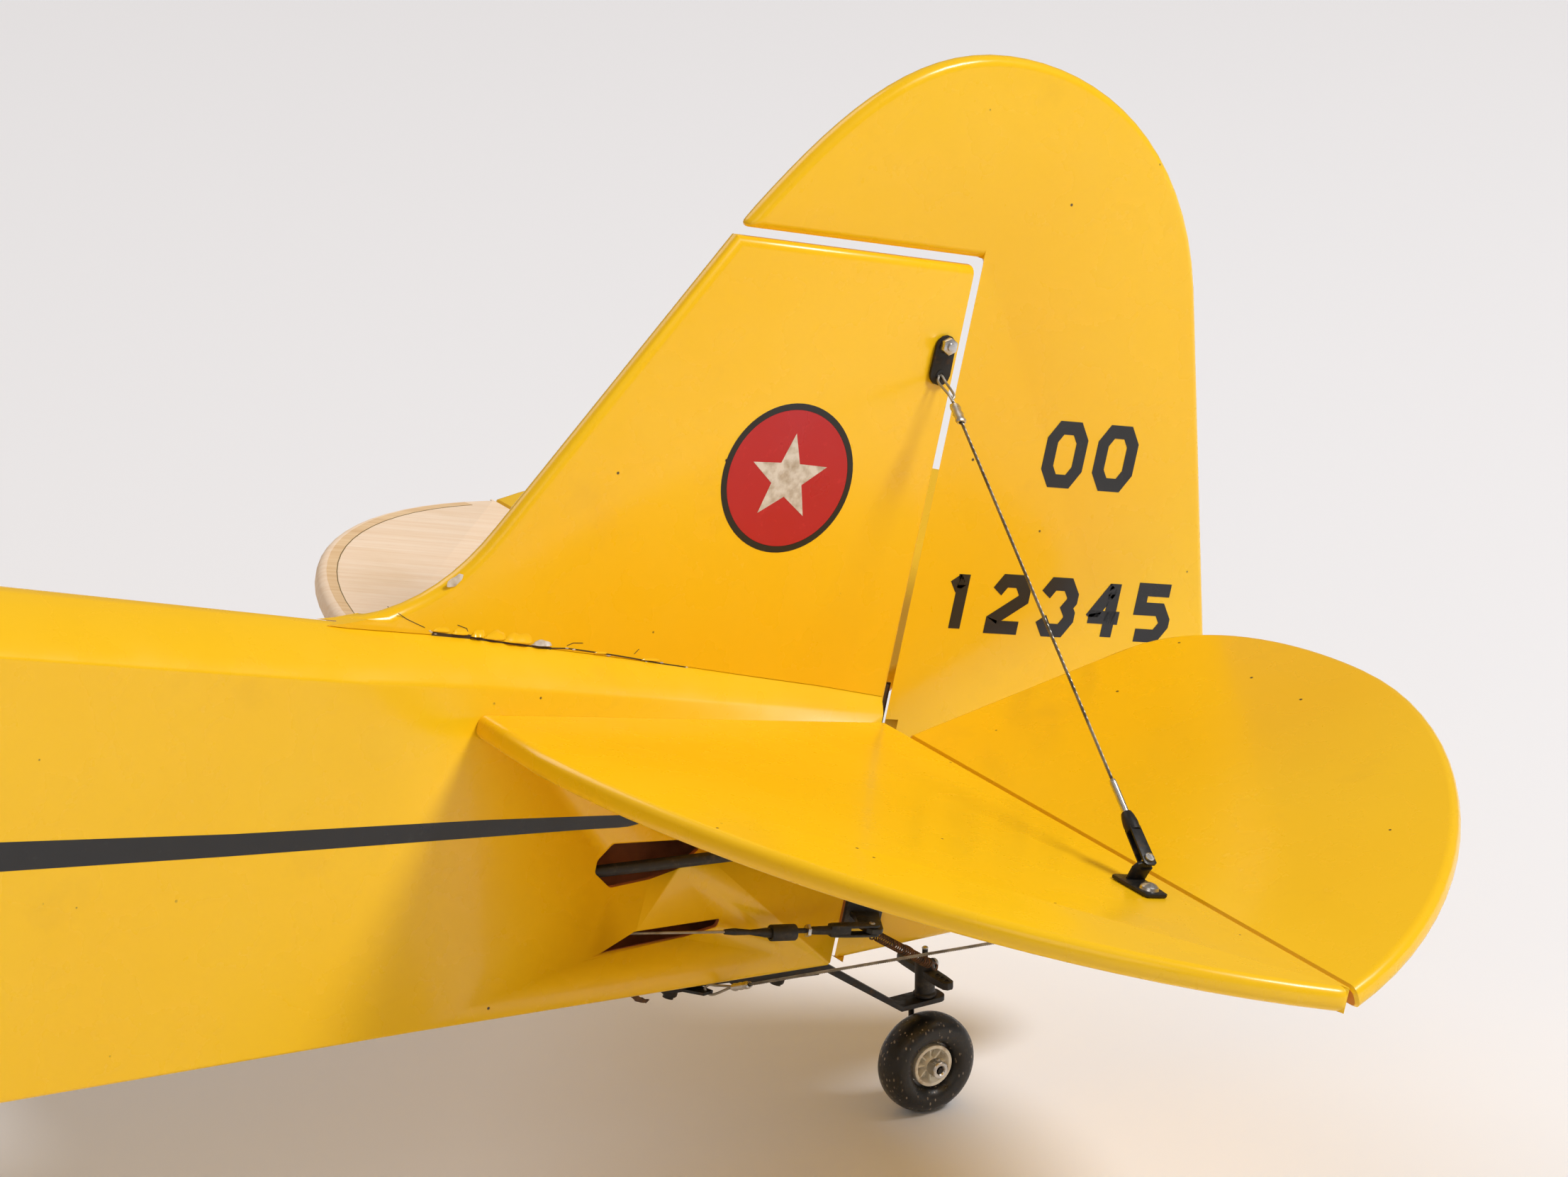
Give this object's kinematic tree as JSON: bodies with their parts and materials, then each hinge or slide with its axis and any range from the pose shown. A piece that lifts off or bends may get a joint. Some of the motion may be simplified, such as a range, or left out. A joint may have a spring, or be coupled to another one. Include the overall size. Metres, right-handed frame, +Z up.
{
  "type": "model aeroplane",
  "caption": "Radio-controlled high-wing cabin aeroplane, film-covered, on tailwheel gear, with braced tail, moving control surfaces, wheels and propeller.",
  "frame": {"origin": "on the ground plane under the middle of the outline, with all three wheels standing on it", "axes": "+X points aft to the tail, +Y to starboard, +Z up; the aeroplane sits nose-up on its tail wheel"},
  "size_m": [1.7244, 2.6806, 0.6499],
  "materials": {
    "yellow_film": "glossy heat-shrunk covering film, chrome yellow",
    "bare_balsa": "bare sanded pale balsa",
    "black_nylon": "moulded black nylon, dusty",
    "black_steel": "blackened spring steel, lightly rusted",
    "steel_cable": "stranded steel cable, tarnished",
    "rusty_spring": "rusted spring wire",
    "bright_aluminium": "turned aluminium",
    "tyre_rubber": "black foam rubber, scuffed",
    "cream_nylon": "moulded cream nylon",
    "clear_glazing": "clear acetate sheet",
    "varnished_wood": "varnished beech",
    "tank_plastic": "translucent white polyethylene",
    "black_marking": "black vinyl trim",
    "badge_red": "printed vinyl badge",
    "white_filler": "cracked filler and torn film edge"
  },
  "bodies": {
    "airframe": {"fuselage": "yellow_film", "windshield": "clear_glazing", "cabin_window_left": "clear_glazing", "cabin_window_right": "clear_glazing", "instrument_panel": "black_nylon", "fuel_tank": "tank_plastic", "radio_tray": "bare_balsa", "engine_cowl": "yellow_film", "engine_crankcase": "bright_aluminium", "cylinder_bank_left": "black_steel", "cylinder_bank_right": "black_steel", "wing_left": "yellow_film", "wing_right": "yellow_film", "wing_strut_left": "yellow_film", "wing_strut_right": "yellow_film", "gear_leg_left": "yellow_film", "gear_leg_right": "yellow_film", "gear_cabane": "black_steel", "shock_strut_left": "black_steel", "shock_strut_right": "black_steel", "fin": "yellow_film", "stabiliser_left": "yellow_film", "stabiliser_right": "bare_balsa", "fin_brace_tab_left": "black_steel", "fin_brace_tab_right": "black_steel", "stab_brace_clevis_left": "black_steel", "stab_brace_clevis_right": "black_steel", "upper_brace_wire_left": "steel_cable", "upper_brace_wire_right": "steel_cable", "belly_brace_tab": "black_steel", "lower_brace_wire_left": "steel_cable", "lower_brace_wire_right": "steel_cable", "tail_leaf_spring": "black_steel"},
    "rudder": {"rudder": "yellow_film", "rudder_horn": "black_nylon"},
    "elevator": {"elevator_left": "yellow_film", "elevator_right": "yellow_film", "elevator_joiner": "black_steel", "elevator_horn": "black_nylon"},
    "aileron_left": {"aileron_left": "yellow_film"},
    "aileron_right": {"aileron_right": "yellow_film"},
    "tail_steering": {"tail_wheel_leg": "black_steel", "tiller_arm": "black_nylon", "wheel_collar": "bright_aluminium"},
    "tail_wheel": {"tail_tyre": "tyre_rubber", "tail_hub": "cream_nylon"},
    "main_wheel_left": {"main_tyre_left": "tyre_rubber", "main_hub_left": "cream_nylon"},
    "main_wheel_right": {"main_tyre_right": "tyre_rubber", "main_hub_right": "cream_nylon"},
    "propeller": {"propeller": "varnished_wood"},
    "elevator_pushrod": {"elevator_pushrod": "black_nylon"},
    "rudder_linkage_left": {"rudder_cable_left": "black_nylon", "rudder_clevis_left": "black_nylon", "steering_spring_left": "rusty_spring"},
    "rudder_linkage_right": {"rudder_cable_right": "black_nylon", "rudder_clevis_right": "black_nylon", "steering_spring_right": "rusty_spring"},
    "elevator_servo_arm": {"elevator_servo_arm": "cream_nylon"},
    "rudder_servo_arm": {"rudder_servo_arm": "cream_nylon"}
  },
  "joints": [
    {"name": "rudder_hinge", "type": "hinge", "parent": "airframe", "child": "rudder", "pos_m": [0.67422, 0, 0.20121], "axis": [0.2351, 0, 0.972], "range_deg": [-15, 15]},
    {"name": "elevator_hinge", "type": "hinge", "parent": "airframe", "child": "elevator", "pos_m": [0.67422, 0, 0.20121], "axis": [0, -1, 0], "range_deg": [-52, 2]},
    {"name": "aileron_left_hinge", "type": "hinge", "parent": "airframe", "child": "aileron_left", "pos_m": [-0.18961, -0.88, 0.49206], "axis": [0, -1, 0], "range_deg": [-20, 20]},
    {"name": "aileron_right_hinge", "type": "hinge", "parent": "airframe", "child": "aileron_right", "pos_m": [-0.18961, 0.88, 0.49206], "axis": [0, -1, 0], "range_deg": [-20, 20]},
    {"name": "tail_steering_pivot", "type": "hinge", "parent": "airframe", "child": "tail_steering", "pos_m": [0.70368, 0, 0.0593], "axis": [0, 0, 1], "range_deg": [-24.5, 24.5]},
    {"name": "tail_wheel_spin", "type": "hinge", "parent": "tail_steering", "child": "tail_wheel", "pos_m": [0.70468, 0, 0.0247], "axis": [0, 1, 0], "continuous": true},
    {"name": "main_wheel_left_spin", "type": "hinge", "parent": "airframe", "child": "main_wheel_left", "pos_m": [-0.60763, -0.23, 0.057], "axis": [0, 1, 0], "continuous": true},
    {"name": "main_wheel_right_spin", "type": "hinge", "parent": "airframe", "child": "main_wheel_right", "pos_m": [-0.60763, 0.23, 0.057], "axis": [0, 1, 0], "continuous": true},
    {"name": "propeller_spin", "type": "hinge", "parent": "airframe", "child": "propeller", "pos_m": [-0.80701, 0, 0.42786], "axis": [0.972, 0, -0.2351], "continuous": true},
    {"name": "elevator_pushrod_slide", "type": "slide", "parent": "airframe", "child": "elevator_pushrod", "axis": [0.99, -0.1327, -0.0483], "range_m": [-0.0373, 0.0016]},
    {"name": "rudder_linkage_left_slide", "type": "slide", "parent": "airframe", "child": "rudder_linkage_left", "axis": [0.9643, -0.1249, -0.2333], "range_m": [-0.0079, 0.0079]},
    {"name": "rudder_linkage_right_slide", "type": "slide", "parent": "airframe", "child": "rudder_linkage_right", "axis": [0.9643, 0.1249, -0.2333], "range_m": [-0.0079, 0.0079]},
    {"name": "elevator_servo_pivot", "type": "hinge", "parent": "airframe", "child": "elevator_servo_arm", "pos_m": [-0.34834, -0.058, 0.27821], "axis": [0.2351, 0, 0.972], "range_deg": [-4, 91]},
    {"name": "rudder_servo_pivot", "type": "hinge", "parent": "airframe", "child": "rudder_servo_arm", "pos_m": [-0.34834, 0, 0.27821], "axis": [0.2351, 0, 0.972], "range_deg": [-19.5, 19.5]}
  ],
  "couplings": [
    {"joint": "aileron_right_hinge", "follows": "aileron_left_hinge", "ratio": -1},
    {"joint": "tail_steering_pivot", "follows": "rudder_hinge", "ratio": 1.6},
    {"joint": "rudder_linkage_left_slide", "follows": "rudder_hinge", "m_per_rad": 0.02964},
    {"joint": "rudder_linkage_right_slide", "follows": "rudder_hinge", "m_per_rad": -0.02964},
    {"joint": "rudder_servo_pivot", "follows": "rudder_hinge", "ratio": 1.26},
    {"joint": "elevator_pushrod_slide", "follows": "elevator_hinge", "m_per_rad": 0.0409},
    {"joint": "elevator_servo_pivot", "follows": "elevator_hinge", "ratio": -1.7308}
  ]
}
